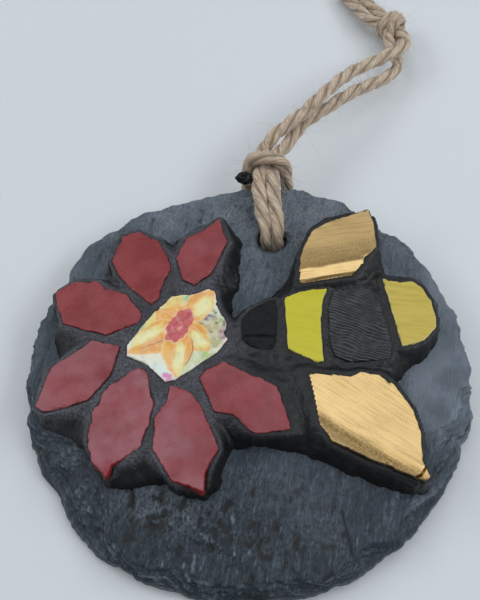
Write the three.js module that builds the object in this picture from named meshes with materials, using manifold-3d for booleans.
// Round slate hanging ornament: a mosaic flower and bumble bee set in black grout on a
// natural-edged slate roundel, with a jute twine loop hitched through a drilled hole.
// It lies face up. Millimetres, +Z up, +Y from the middle of the slate towards the hanging hole.
import * as THREE from "three";
import { mergeVertices } from "three/addons/utils/BufferGeometryUtils.js";
import Module from "manifold-3d";

const wasm = await Module();
wasm.setup();

// Driving dimensions

const slate_diameter = 100;
const slate_thickness = 6;
const slate_arris = 1.1; // height of the small undercut at the back edge
const slate_undercut = 0.6; // how far the back face stops short of the widest line
const hole_diameter = 7.4;
const hole_from_edge = 16.4; // from the slate's edge to the hole's axis
const fit_gap = 0.3; // kept between pieces that touch

const adhesive_thickness = 0.8;
const petal_tile_thickness = 4.1;
const china_thickness = 3.8; // painted china of the flower centre
const glass_thickness = 4.1; // yellow glass of the bee's stripes
const black_tile_thickness = 3.6;
const upper_wing_thickness = 4.9;
const lower_wing_thickness = 5.4;
const tile_chamfer = 0.3;

const grout_below_face = 0.5; // grout stops this far below the face of its tile
const grout_shoulder = 0.9; // width of the grout beside a tile at that level
const grout_web_height = 4.2; // between the tiles, above the slate
const grout_rim_margin = 2.2; // grout keeps this far inside the slate's edge
const flower_web_margin = 4; // how far the web reaches out round the flower's centre
const body_web_margin = 0.6; // and round the bee's body
const flower_grout_spread = 1.6; // width of the grout's foot beside a tile of the flower
const bee_grout_spread = 2.2;
const bee_tail_grout_spread = 2.4;
const lower_wing_grout_spread = 2.9;

const twine_diameter = 3.8;
const twine_pressed = 2.6; // thickness of the twine where the slate lies on it
const twine_pulled = 3.2; // diameter where the hitch pulls it tight
const twine_sides = 8;
const knot_turns = 3;
const knot_length = 8.6;
const hitch_slip = 5.2; // the hitch has slipped this far to one side of the hole
const band_past_edge = 4.6; // from the slate's edge to the middle of the hitch's band
const leg_side = 5.4; // from the hitch's middle line to each leg that comes round the rim
const leg_past_edge = 1.2; // from the slate's edge to the end of a leg

// Values that follow from them

const slate_radius = slate_diameter / 2;
const twine_radius = twine_diameter / 2;
const hole_radius = hole_diameter / 2;
const hole_y = slate_radius - hole_from_edge;
const bed_floor = slate_thickness + fit_gap;
const tile_seat = bed_floor + adhesive_thickness + fit_gap;
const slate_lift = Math.asin((twine_pressed + fit_gap) / (slate_radius + hole_y)); // it leans on the twine
const up = new THREE.Vector3(0, 0, 1);
const full_turn = 360; // degrees

const colour = {
  slate: 0x4a505a,
  grout: 0x202123,
  petal: 0x8c3a3a,
  china: 0xefe3bd,
  front_stripe: 0xd9cf3a,
  rear_stripe: 0xcdb94f,
  black: 0x17181a,
  gold: 0xc79a56,
  twine: 0xb89a76,
};

// The mosaic. Corners are hundredths of the slate's diameter, anticlockwise, as the tiles were nipped.

const petal_corners = [
  [[-28, 10], [-23, 7.5], [-21.5, 9.5], [-22, 12], [-21, 17.5], [-22.5, 20.5],
    [-26, 24.5], [-31.5, 26.5], [-35, 24.5], [-35.5, 17], [-33.5, 14.5]],
  [[-14.5, 14], [-11.5, 17.5], [-9.5, 27.5], [-11, 29.5], [-13, 33.5], [-16.5, 29],
    [-19.5, 27], [-20.5, 20.5], [-17.5, 15]],
  [[-41.5, -1], [-31, -2], [-24.5, 2.5], [-24.5, 5], [-29.5, 9], [-34.5, 9.5],
    [-37.5, 11], [-42.5, 10], [-46, 6.5]],
  [[-40.5, -21], [-38.5, -22], [-34, -20], [-30, -17.5], [-27, -11.5], [-27, -8.5],
    [-27, -4], [-33.5, -4], [-40.5, -12]],
  [[-27.5, -26], [-25, -30], [-21.5, -32.5], [-21, -30], [-16, -25], [-16, -15.5],
    [-20, -8.5], [-21.5, -8.5], [-27, -14], [-28, -20]],
  [[-15, -19], [-13.5, -25], [-8.5, -30.5], [-1.5, -31.5], [-2, -28], [-0.5, -22.5],
    [-6.5, -14], [-9, -12], [-13.5, -11], [-13.5, -15.5]],
  [[-8, -8], [-3, -15], [1, -15], [4.5, -17.5], [6.5, -18], [13.5, -16], [11.5, -12],
    [9, -7], [-3.5, -3.5], [-7, -6]],
];

const tiles = petal_corners.map((corners, index) => ({
  name: `petal_${index + 1}`,
  colour: colour.petal,
  thickness: petal_tile_thickness,
  grout_spread: flower_grout_spread,
  corners,
}));

tiles.push(
  {
    name: "flower_centre",
    colour: colour.china,
    thickness: china_thickness,
    grout_spread: flower_grout_spread,
    corners: [[-25, -6], [-20, -7], [-15, -10.5], [-13, -9.5], [-5.5, -1.5], [-4, 2], [-5, 3.5], [-5, 6],
      [-8, 9.5], [-9.5, 13.5], [-11, 14], [-14, 12], [-19, 10.5], [-22, 5.5], [-25.5, -3.5]],
  },
  {
    name: "bee_head",
    colour: colour.black,
    thickness: black_tile_thickness,
    grout_spread: bee_grout_spread,
    corners: [[-1, 3], [1, 1.5], [4, 1], [6.5, 1.5], [6, 7.5], [4.5, 14], [2.5, 13], [-0.5, 10.5], [-2, 7.5]],
  },
  {
    name: "bee_front_stripe",
    colour: colour.front_stripe,
    thickness: glass_thickness,
    grout_spread: bee_grout_spread,
    corners: [[9.5, 2], [12.5, 1], [16, 0], [17.5, 0.5], [15.5, 10], [15, 15], [15.5, 18.5], [12.5, 18],
      [9.5, 16.5], [6.5, 14.5]],
  },
  {
    name: "bee_middle_stripe",
    colour: colour.black,
    thickness: black_tile_thickness,
    grout_spread: bee_grout_spread,
    corners: [[19.5, 2.5], [22.5, 1.5], [27, 2.5], [31, 4], [31.5, 7], [29.5, 12.5], [27.5, 17.5], [25, 20.5],
      [21, 20], [17, 18.5], [16.5, 13.5], [18, 6]],
  },
  {
    name: "bee_rear_stripe",
    colour: colour.rear_stripe,
    thickness: glass_thickness,
    grout_spread: bee_tail_grout_spread,
    corners: [[30.5, 15], [33.5, 7], [38, 9.5], [40, 13], [40, 15.5], [38.5, 19.5], [36.5, 22.5], [34, 24],
      [31.5, 23], [27.5, 23.5]],
  },
  {
    name: "bee_upper_wing",
    colour: colour.gold,
    thickness: upper_wing_thickness,
    grout_spread: bee_grout_spread,
    corners: [[9, 18], [21, 22.5], [22.5, 25.5], [23, 28], [25, 31.5], [24, 37.5], [22, 42], [19.5, 40.5],
      [13, 37], [10, 34], [9, 30.5], [8, 26]],
    // A rolled bead runs beside the lower edge: [distance from that edge, height against the face].
    fold_bearing: 21,
    fold_start: [9, 18],
    section: [[-2, -1.2], [0, -0.7], [0.6, -0.35], [0.9, -0.6], [1.2, -0.25], [2.2, 0], [3.2, -0.1], [3.8, -0.4],
      [12, -0.1], [28, 0.6]],
  },
  {
    name: "bee_lower_wing",
    colour: colour.gold,
    thickness: lower_wing_thickness,
    grout_spread: lower_wing_grout_spread,
    corners: [[16, -7], [18.5, -14], [22, -17], [30, -19.5], [34, -20], [40.5, -21.5], [41.5, -20.5],
      [39.5, -17.5], [39, -12], [37, -7.5], [32.5, -2.5], [29.5, -1], [25.5, -1], [23.5, -2.5], [20.5, -2.5],
      [14.5, -3]],
    // A soft valley runs beside the outer edge, with the lip rising again beyond it.
    fold_bearing: -22,
    fold_start: [19.5, -12],
    section: [[-12, 0.6], [-4, 0.1], [-2, -0.35], [0, -0.6], [2, -0.4], [5, 0], [9, 0.2], [22, 0]],
  },
);

// Grout runs through here from the flower to the bee.
const neck_corners = [[-5.5, 3], [-4, 10], [-9, -2], [4, -6], [14, -8], [14, 2]];

// The slate's rim. Bearings are degrees anticlockwise from +X, the rest is millimetres.

const edge_swells = [
  { bearing: 28, half_span: 9, out: 0.8 },
  { bearing: 77, half_span: 13, out: 1.0 },
  { bearing: 117, half_span: 15, out: -1.7 },
  { bearing: 142, half_span: 13, out: 1.1 },
  { bearing: 229, half_span: 9, out: -0.6 },
  { bearing: 245, half_span: 7, out: 0.8 },
  { bearing: 354, half_span: 6, out: 0.6 },
];
const rim_flakes = [
  { bearing: 230, half_span: 24, bite: 8.6 },
  { bearing: 268, half_span: 16, bite: 2.4 },
  { bearing: 289, half_span: 12, bite: 1.8 },
  { bearing: 309, half_span: 8, bite: 2.4 },
  { bearing: 330, half_span: 13, bite: 2.6 },
  { bearing: 350, half_span: 15, bite: 4.4 },
  { bearing: 62, half_span: 10, bite: 1.2 },
  { bearing: 165, half_span: 14, bite: 1.4 },
  { bearing: 196, half_span: 12, bite: 1.6 },
];
const rim_bevel = 0.9; // least width of the worn bevel round the face
const rim_nibble = 0.25; // small chips along that bevel
const edge_ripple = 0.22; // knapping marks along the edge
const edge_bearings = 96;
// Section of a flake: share of its width inwards and share of its rise above the arris.
const flake_section = [[0, 0], [0.1, 0.32], [0.45, 0.66], [1, 1]];

// Bell between 1 and 0 round a bearing, flat on top and smooth at both ends.
function bell(bearing, centre, half_span) {
  const round = (bearing - centre + 1.5 * full_turn) % full_turn;
  const off = Math.abs(round - full_turn / 2) / half_span;
  return off >= 1 ? 0 : (1 - off * off) ** 2 * (1 + 2 * off * off);
}

function edgeRadius(bearing) {
  const turn = THREE.MathUtils.degToRad(bearing);
  const ripple = edge_ripple * (Math.sin(17 * turn + 0.6) + 0.8 * Math.sin(29 * turn + 2.1));
  const swell = edge_swells.reduce((sum, s) => sum + s.out * bell(bearing, s.bearing, s.half_span), 0);
  return slate_radius + ripple + swell;
}

function flakeWidth(bearing) {
  const turn = THREE.MathUtils.degToRad(bearing);
  const nibble = rim_nibble * (1 + Math.sin(23 * turn + 1.3));
  const flakes = rim_flakes.reduce((sum, f) => sum + f.bite * bell(bearing, f.bearing, f.half_span), 0);
  return rim_bevel + nibble + flakes;
}

// Closed surface through rings of points, with a flat cap at either end about the ring's own middle.
function loft(rings) {
  const count = rings[0].length;
  const points = rings.flat();
  const middle = (ring) => ring.reduce((sum, p) => sum.add(p), new THREE.Vector3()).divideScalar(count);
  const bottom = points.push(middle(rings[0])) - 1;
  const top = points.push(middle(rings[rings.length - 1])) - 1;
  const faces = [];
  for (let i = 0; i < count; i += 1) {
    const next = (i + 1) % count;
    faces.push(bottom, next, i);
    for (let r = 0; r + 1 < rings.length; r += 1) {
      const low = r * count;
      const high = low + count;
      faces.push(low + i, low + next, high + next, low + i, high + next, high + i);
    }
    const last = (rings.length - 1) * count;
    faces.push(top, last + i, last + next);
  }
  const geometry = new THREE.BufferGeometry().setFromPoints(points);
  geometry.setIndex(faces);
  return geometry;
}

function toSolid(geometry) {
  const bare = geometry.clone();
  bare.deleteAttribute("normal");
  bare.deleteAttribute("uv");
  const merged = mergeVertices(bare, 1e-4);
  const triVerts = new Uint32Array(merged.index.array);
  const vertProperties = new Float32Array(merged.attributes.position.array);
  return new wasm.Manifold(new wasm.Mesh({ numProp: 3, vertProperties, triVerts }));
}

function toGeometry(solid) {
  const mesh = solid.getMesh();
  const geometry = new THREE.BufferGeometry();
  geometry.setAttribute("position", new THREE.BufferAttribute(new Float32Array(mesh.vertProperties), 3));
  geometry.setIndex(new THREE.BufferAttribute(new Uint32Array(mesh.triVerts), 1));
  return geometry;
}

function joined(geometries) {
  return geometries.map(toSolid).reduce((sum, solid) => sum.add(solid));
}

// Outline of a tile in millimetres on the slate.
function outlineOf(corners) {
  return corners.map(([x, y]) => new THREE.Vector2(x, y).multiplyScalar(slate_diameter / 100));
}

// The outline moved outwards along its corners' bisectors.
function grown(outline, by) {
  return outline.map((corner, i) => {
    const before = corner.clone().sub(outline.at(i - 1)).normalize();
    const after = outline[(i + 1) % outline.length].clone().sub(corner).normalize();
    const out = new THREE.Vector2(before.y + after.y, -before.x - after.x);
    const reach = Math.min(2, 2 / out.lengthSq());
    return corner.clone().addScaledVector(out, by * reach);
  });
}

// Convex outline that holds all the points, anticlockwise.
function hullOf(points) {
  const sorted = [...points].sort((a, b) => a.x - b.x || a.y - b.y);
  const chain = (list) => {
    const kept = [];
    for (const p of list) {
      while (kept.length > 1) {
        const a = kept.at(-2);
        const b = kept.at(-1);
        if ((b.x - a.x) * (p.y - a.y) - (b.y - a.y) * (p.x - a.x) > 0) break;
        kept.pop();
      }
      kept.push(p);
    }
    return kept.slice(0, -1);
  };
  return [...chain(sorted), ...chain(sorted.reverse())];
}

function ringAt(outline, z) {
  return outline.map((p) => new THREE.Vector3(p.x, p.y, z));
}

function prism(outline, bottom, top, chamfer = 0) {
  const geometry = new THREE.ExtrudeGeometry(new THREE.Shape(outline), {
    depth: top - bottom - 2 * chamfer,
    bevelEnabled: chamfer > 0,
    bevelThickness: chamfer,
    bevelSize: chamfer,
    bevelOffset: -chamfer,
    bevelSegments: 1,
  });
  return geometry.translate(0, 0, bottom + chamfer);
}

function makeSlate() {
  const bearings = Array.from({ length: edge_bearings }, (_, i) => (i * full_turn) / edge_bearings);
  const ring = (radiusAt, z) =>
    bearings.map((bearing) => {
      const turn = THREE.MathUtils.degToRad(bearing);
      const radius = radiusAt(bearing);
      return new THREE.Vector3(radius * Math.cos(turn), radius * Math.sin(turn), z);
    });
  const rise = slate_thickness - slate_arris;
  const rim = flake_section.map(([inward, share]) =>
    ring((bearing) => edgeRadius(bearing) - inward * flakeWidth(bearing), slate_arris + share * rise),
  );
  const back = ring((bearing) => edgeRadius(bearing) - slate_undercut, 0);
  const blank = loft([back, ...rim]);
  const drill = new THREE.CylinderGeometry(hole_radius, hole_radius, 3 * slate_thickness, 32)
    .rotateX(Math.PI / 2)
    .translate(0, hole_y, slate_thickness / 2);
  return toGeometry(toSolid(blank).subtract(toSolid(drill)));
}

// Glazed crockery: the outline cut out of a plate whose section is drawn across its fold.
function makeWing(tile, outline, face) {
  const turn = THREE.MathUtils.degToRad(tile.fold_bearing);
  const across = new THREE.Vector3(-Math.sin(turn), Math.cos(turn), 0);
  const along = new THREE.Vector3(Math.cos(turn), Math.sin(turn), 0);
  const first = tile.section[0][0];
  const last = tile.section.at(-1)[0];
  const plate = new THREE.Shape([
    new THREE.Vector2(first, tile_seat),
    new THREE.Vector2(last, tile_seat),
    ...tile.section.map(([v, rise]) => new THREE.Vector2(v, face + rise)).reverse(),
  ]);
  const start = outlineOf([tile.fold_start])[0];
  const slab = new THREE.ExtrudeGeometry(plate, { depth: 2 * slate_diameter, bevelEnabled: false })
    .translate(0, 0, -slate_diameter)
    .applyMatrix4(new THREE.Matrix4().makeBasis(across, up, along))
    .translate(start.x, start.y, 0);
  const highest = Math.max(...tile.section.map(([, rise]) => rise));
  const blank = prism(outline, tile_seat, face + highest + tile_chamfer);
  return toGeometry(toSolid(blank).intersect(toSolid(slab)));
}

function makeTile(tile) {
  const outline = outlineOf(tile.corners);
  const face = tile_seat + tile.thickness;
  return tile.section ? makeWing(tile, outline, face) : prism(outline, tile_seat, face, tile_chamfer);
}

// Grout: a sloping skirt round every tile and low webs between them, with a socket for each tile.
function makeGrout() {
  const hull = (names) => {
    const chosen = tiles.filter((tile) => names.test(tile.name));
    return hullOf(chosen.flatMap((tile) => outlineOf(tile.corners)));
  };
  const skirts = tiles.map((tile) => {
    const outline = hullOf(outlineOf(tile.corners));
    const shoulder = tile_seat + tile.thickness - grout_below_face;
    return loft([
      ringAt(grown(outline, tile.grout_spread), bed_floor),
      ringAt(grown(outline, grout_shoulder), shoulder),
    ]);
  });
  const web_top = bed_floor + grout_web_height;
  const flower = grown(hull(/^flower_centre$/), flower_web_margin);
  const body = grown(hull(/^bee_(head|.*stripe)$/), body_web_margin);
  const neck = hullOf(outlineOf(neck_corners));
  const webs = [flower, body, neck].map((outline) => prism(outline, bed_floor, web_top));
  const face_radius = slate_radius - grout_rim_margin;
  const face_disc = new THREE.CylinderGeometry(face_radius, face_radius, 4 * slate_thickness, edge_bearings)
    .rotateX(Math.PI / 2)
    .translate(0, 0, bed_floor);
  const sockets = tiles.map((tile) => {
    const outline = grown(outlineOf(tile.corners), fit_gap);
    return prism(outline, tile_seat - fit_gap, tile_seat + 3 * tile.thickness);
  });
  const mass = joined([...skirts, ...webs]).intersect(toSolid(face_disc));
  return toGeometry(mass.subtract(joined(sockets)));
}

// Twine

function tube(points, steps, radius = twine_radius) {
  const section = new THREE.Shape().absarc(0, 0, radius, 0, 2 * Math.PI);
  return new THREE.ExtrudeGeometry(section, {
    curveSegments: twine_sides / 2, // three.js divides a full circle twice as often
    steps,
    bevelEnabled: false,
    extrudePath: new THREE.CatmullRomCurve3(points),
  });
}

const vec = (x, y, z) => new THREE.Vector3(x, y, z);
const strand_side = 0.72 * twine_radius; // the two strands press against each other in the hole
const over_slate = slate_thickness + twine_radius + fit_gap;
const hitch_x = -hitch_slip;
const edge_y = Math.sqrt(slate_radius ** 2 - hitch_x ** 2);
const leg_y = edge_y + leg_past_edge;
const band_y = edge_y + band_past_edge;
const band_radius = twine_pulled / 2;
const band_strand_z = over_slate - 0.8; // height of the strands where the band crosses them
const band_pinch = 1.35; // half the distance between their middles there
const strand_apart = twine_radius + 0.2; // and where they leave the hitch

// Two strands come up out of the hole and run side by side over the face to the hitch.
function makeFrontStrands() {
  const strand = (side) =>
    tube(
      [
        vec(side * strand_side, hole_y - 0.2, fit_gap),
        vec(side * strand_side, hole_y - 0.1, 0.55 * slate_thickness),
        vec(side * strand_side - 0.2, hole_y + 0.9, over_slate - 0.9),
        vec(side * 1.7 - 1.6, hole_y + 5, over_slate + 0.5),
        vec(side * 1.8 + 0.65 * hitch_x, 0.5 * (hole_y + edge_y) + 2.5, over_slate + 0.7),
        vec(side * 1.8 + 0.9 * hitch_x, edge_y, over_slate + 0.3),
        vec(side * band_pinch + hitch_x, band_y, band_strand_z),
        vec(side * (band_pinch + 0.25) + hitch_x, band_y + 2.6, band_strand_z),
        vec(side * strand_apart + hitch_x, band_y + 5.3, band_strand_z),
      ],
      16,
    );
  return toGeometry(joined([strand(-1), strand(1)]));
}

// Behind the slate the same two strands part from the hole to either side of the hitch.
function makeBackLegs() {
  const squash = twine_pressed / twine_diameter;
  const leg = (side) =>
    tube(
      [
        vec(side * strand_side, hole_y - 1, 0),
        vec(side * (strand_side + 1.2), hole_y + 5, 0),
        vec(0.5 * hitch_x + side * 4.2, 0.5 * (hole_y + edge_y) + 2, 0),
        vec(hitch_x + side * leg_side, leg_y, 0),
      ],
      8,
    )
      .scale(1, 1, squash)
      .translate(0, 0, -twine_pressed / 2 - fit_gap);
  return toGeometry(joined([leg(-1), leg(1)]));
}

// The bight of the loop: up round the rim on one side, over both strands and down on the other.
function makeBand() {
  const reach = twine_radius + fit_gap + band_radius + 0.05;
  const corner = 0.72 * reach;
  const rise_y = leg_y + twine_radius + fit_gap;
  const half = (side) => [
    vec(hitch_x + side * leg_side, rise_y, -0.2 * twine_radius),
    vec(hitch_x + side * leg_side, rise_y + 0.3, 0.5 * slate_thickness),
    vec(hitch_x + side * (band_pinch + reach), band_y, band_strand_z),
    vec(hitch_x + side * (band_pinch + corner), band_y + 0.2, band_strand_z + corner),
    vec(hitch_x + side * 0.8 * band_pinch, band_y + 0.3, band_strand_z + reach),
  ];
  return tube([...half(-1), ...half(1).reverse()], 24, band_radius);
}

// Overhand knot in the doubled twine: turns wrapped round the pair, on the line from start to end.
function makeKnot(centre, direction) {
  const slimness = 0.86; // the core's width against its length
  const turn_radius = 1.55 * twine_radius;
  const turn_pitch = 1.25 * twine_radius;
  const turn_tilt = 0.35; // radians
  const turn_bearing = 2.1;
  const core = new THREE.SphereGeometry(0.5 * knot_length, 14, 10).scale(slimness, slimness, 1);
  const turns = Array.from({ length: knot_turns }, (_, i) => {
    const place = i - (knot_turns - 1) / 2;
    return new THREE.TorusGeometry(turn_radius, twine_radius, twine_sides, 16)
      .rotateX(turn_tilt)
      .rotateZ(i * turn_bearing)
      .translate(0, 0, place * turn_pitch);
  });
  const solid = joined([core, ...turns]);
  const turned = new THREE.Quaternion().setFromUnitVectors(up, direction.clone().normalize());
  return toGeometry(solid).applyQuaternion(turned).translate(centre.x, centre.y, centre.z);
}

// Free twine, as it lies beyond the hitch. Places are measured on the surface it lies on.
// The left strand rises over the right one, they part round a slim eye and cross again below the knot.
const twine_left_points = [
  vec(-7.3, 60.5, 11.3), vec(-5.9, 63.3, 12.5), vec(-3.5, 66.4, 13.6), vec(-0.8, 69.9, 14.1), vec(1.5, 73.4, 14.1),
  vec(3.5, 77.5, 14), vec(5.3, 81.7, 13.4), vec(8, 87.8, 12.4), vec(11.9, 95, 11), vec(16.2, 100.7, 9.6),
  vec(20.4, 105.6, 8.8), vec(23.6, 109, 8.7), vec(25.5, 112.8, 7.8), vec(25.3, 117.9, 6.2),
];
const twine_right_points = [
  vec(-3.1, 60.5, 11.2), vec(-2.1, 63.1, 10.6), vec(-1.1, 66, 10.1), vec(-0.2, 69.7, 9.9), vec(1.5, 73.5, 9.9),
  vec(4.1, 77.2, 9.8), vec(7.2, 81.3, 9.5), vec(10.1, 85.5, 9.1), vec(14.3, 91.2, 8), vec(18.5, 96.2, 6.6),
  vec(22, 101.2, 5.3), vec(24.1, 106.4, 4.5), vec(23.3, 112.2, 4.2), vec(21.1, 117.7, 4.4),
];
const knot_centre = vec(20.7, 124.5, 5.2);
const knot_direction = vec(-0.8, 1, 0);
const tail_left_points = [
  vec(13.5, 127.9, 4.6), vec(11, 131.3, 4.1), vec(8.4, 135.2, 3.5), vec(5.6, 139.4, 2.9), vec(2.8, 143.6, 2.3),
];
const tail_right_points = [
  vec(16.9, 130.6, 4.8), vec(14.5, 133.8, 4.2), vec(11.9, 137.6, 3.6), vec(9.1, 141.8, 2.9), vec(6.3, 146, 2.3),
];

// Assembly

function meshOf(name, geometry, hex, roughness, metalness = 0) {
  const material = new THREE.MeshStandardMaterial({ color: hex, roughness, metalness });
  const mesh = new THREE.Mesh(geometry, material);
  mesh.name = name;
  return mesh;
}

const plaque = new THREE.Group();
plaque.add(meshOf("slate_roundel", makeSlate(), colour.slate, 0.55));
plaque.add(meshOf("grout_bed", makeGrout(), colour.grout, 0.85));
for (const tile of tiles) {
  const gold = Boolean(tile.section);
  plaque.add(meshOf(tile.name, makeTile(tile), tile.colour, gold ? 0.35 : 0.4, gold ? 1 : 0));
}
plaque.add(meshOf("hitch_front_strands", makeFrontStrands(), colour.twine, 0.95));
plaque.add(meshOf("hitch_back_legs", makeBackLegs(), colour.twine, 0.95));
plaque.add(meshOf("hitch_band", makeBand(), colour.twine, 0.95));
// The slate's lowest rim touches the surface and its other side leans on the twine.
plaque.rotation.x = slate_lift;

const free_twine = new THREE.Group();
free_twine.add(meshOf("twine_left", tube(twine_left_points, 18), colour.twine, 0.95));
free_twine.add(meshOf("twine_right", tube(twine_right_points, 18), colour.twine, 0.95));
free_twine.add(meshOf("twine_knot", makeKnot(knot_centre, knot_direction), colour.twine, 0.95));
free_twine.add(meshOf("twine_tail_left", tube(tail_left_points, 6), colour.twine, 0.95));
free_twine.add(meshOf("twine_tail_right", tube(tail_right_points, 6), colour.twine, 0.95));

// The origin is under the middle of the plaque and its hitch, on the surface they lie on.
const group = new THREE.Group();
group.add(plaque, free_twine);
plaque.updateMatrixWorld(true);
const box = new THREE.Box3().setFromObject(plaque, true);
const middle = box.getCenter(new THREE.Vector3());
plaque.position.z -= box.min.z;
group.position.set(-middle.x, -middle.y, 0);

export default group;
